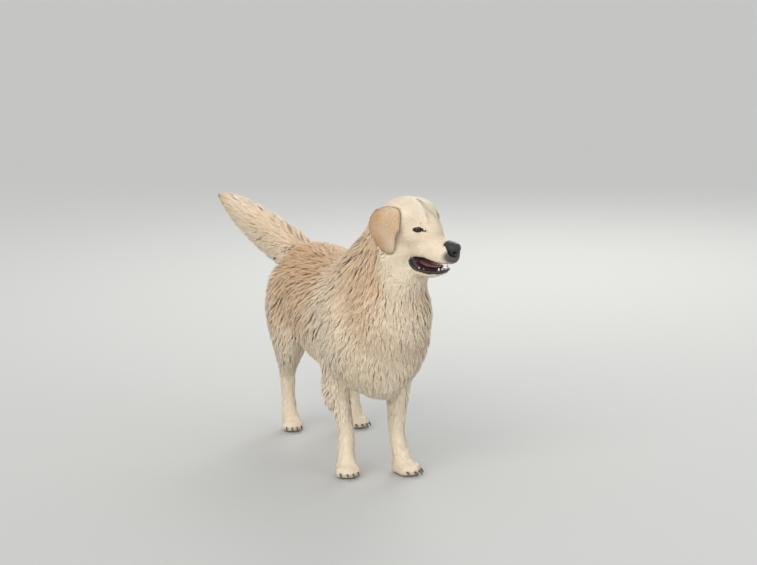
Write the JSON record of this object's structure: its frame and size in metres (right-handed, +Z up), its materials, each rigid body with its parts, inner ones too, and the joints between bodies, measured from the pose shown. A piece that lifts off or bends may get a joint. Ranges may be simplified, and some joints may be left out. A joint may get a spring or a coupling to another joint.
{
  "type": "standing dog model",
  "caption": "Life-size still model of a standing, long-coated cream-gold retriever dog, head turned to its left, mouth a little open, feathered tail carried up.",
  "frame": {"origin": "on the floor, under the middle of the model's box", "axes": "+Z up, the dog faces -Y, its left side is +X"},
  "size_m": [0.3676, 1.128, 0.7819],
  "materials": {
    "coat": "long soft fur in wavy locks, cream to light gold",
    "ear_coat": "short soft gold fur",
    "nose_leather": "pebbled, damp, black",
    "eye": "wet dark brown",
    "mouth_flesh": "wet flesh, black at the lips",
    "horn": "smooth claw horn",
    "enamel": "wet tooth enamel"
  },
  "bodies": {
    "root": {"head": "coat", "lower_jaw": "coat", "neck": "coat", "trunk": "coat", "tail": "coat", "foreleg_left": "coat", "foreleg_right": "coat", "forepaw_left": "coat", "forepaw_right": "coat", "hindleg_left": "coat", "hindleg_right": "coat", "hindpaw_left": "coat", "hindpaw_right": "coat", "ear_left": "ear_coat", "ear_right": "ear_coat", "nose": "nose_leather", "tongue": "mouth_flesh", "eye_left": "eye", "eye_right": "eye", "claw_fore_left_1": "horn", "claw_fore_left_2": "horn", "claw_fore_left_3": "horn", "claw_fore_left_4": "horn", "claw_fore_right_1": "horn", "claw_fore_right_2": "horn", "claw_fore_right_3": "horn", "claw_fore_right_4": "horn", "claw_hind_left_1": "horn", "claw_hind_left_2": "horn", "claw_hind_left_3": "horn", "claw_hind_left_4": "horn", "claw_hind_right_1": "horn", "claw_hind_right_2": "horn", "claw_hind_right_3": "horn", "claw_hind_right_4": "horn"}
  },
  "joints": []
}
